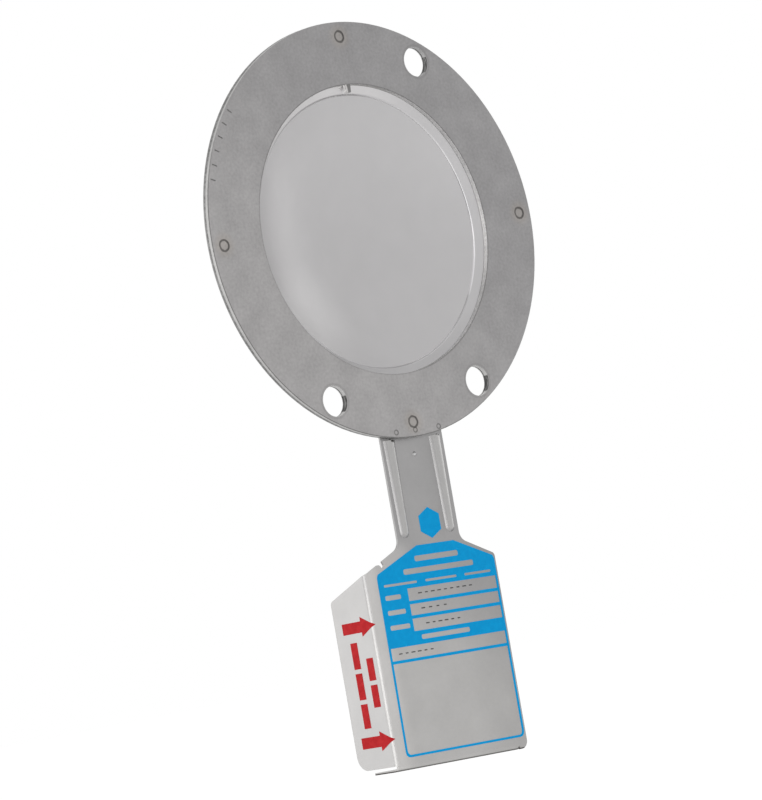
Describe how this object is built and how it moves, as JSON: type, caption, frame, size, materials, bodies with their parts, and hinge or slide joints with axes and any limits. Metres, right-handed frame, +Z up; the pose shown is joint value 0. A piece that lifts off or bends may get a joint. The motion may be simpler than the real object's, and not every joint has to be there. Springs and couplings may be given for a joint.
{
  "type": "rupture disc",
  "caption": "Scored reverse-acting rupture disc: flat outlet ring, thin domed membrane and a folded sheet-metal tag.",
  "frame": {"origin": "centre of the disc on the outlet face of the ring", "axes": "-Y along the pipe axis the way the flow leaves, +Z up, the tag hangs along -Z"},
  "size_m": [0.108, 0.0168, 0.1913],
  "materials": {
    "ring_steel": "dull rolled stainless steel",
    "dome_steel": "smooth satin stainless steel",
    "tag_steel": "satin stainless sheet",
    "blue_ink": "printed ink",
    "red_ink": "printed ink"
  },
  "bodies": {
    "root": {"outlet_ring": "ring_steel", "dome_disc": "dome_steel", "tag": "tag_steel"}
  },
  "joints": []
}
